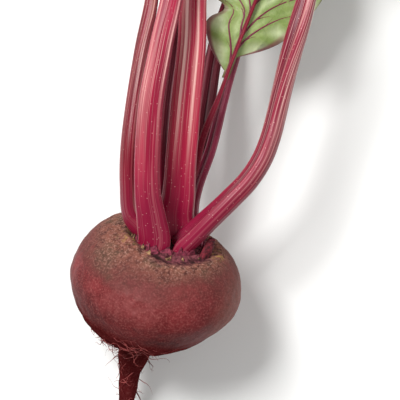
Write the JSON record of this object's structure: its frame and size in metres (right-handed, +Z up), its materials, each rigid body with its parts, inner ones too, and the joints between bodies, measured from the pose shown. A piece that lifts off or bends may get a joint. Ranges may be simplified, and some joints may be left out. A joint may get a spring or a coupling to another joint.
{
  "type": "beetroot with leaves",
  "caption": "A beetroot as picked, with its tap root, red leaf stalks and waved green leaves, lying on its side.",
  "frame": {"origin": "middle of the small flat spot under the swollen root, where it rests on the surface", "axes": "+Z up, +Y from the tap root towards the leaf tips, +X to the right of a viewer who looks down with the leaves pointing away"},
  "size_m": [0.1714, 0.4182, 0.0857],
  "materials": {
    "skin": "matte, finely rough",
    "stalk": "satin, ribbed",
    "blade": "satin, veined",
    "stump": "dry and rough"
  },
  "bodies": {
    "root": {"root": "skin", "petiole_1": "stalk", "petiole_2": "stalk", "petiole_3": "stalk", "petiole_4": "stalk", "petiole_5": "stalk", "petiole_6": "stalk", "petiole_7": "stalk", "petiole_8": "stalk", "stub_right": "stump", "stub_under": "stump", "blade_1": "blade", "blade_2": "blade", "blade_3": "blade", "blade_4": "blade", "blade_5": "blade", "blade_6": "blade", "blade_7": "blade", "blade_8": "blade"}
  },
  "joints": []
}
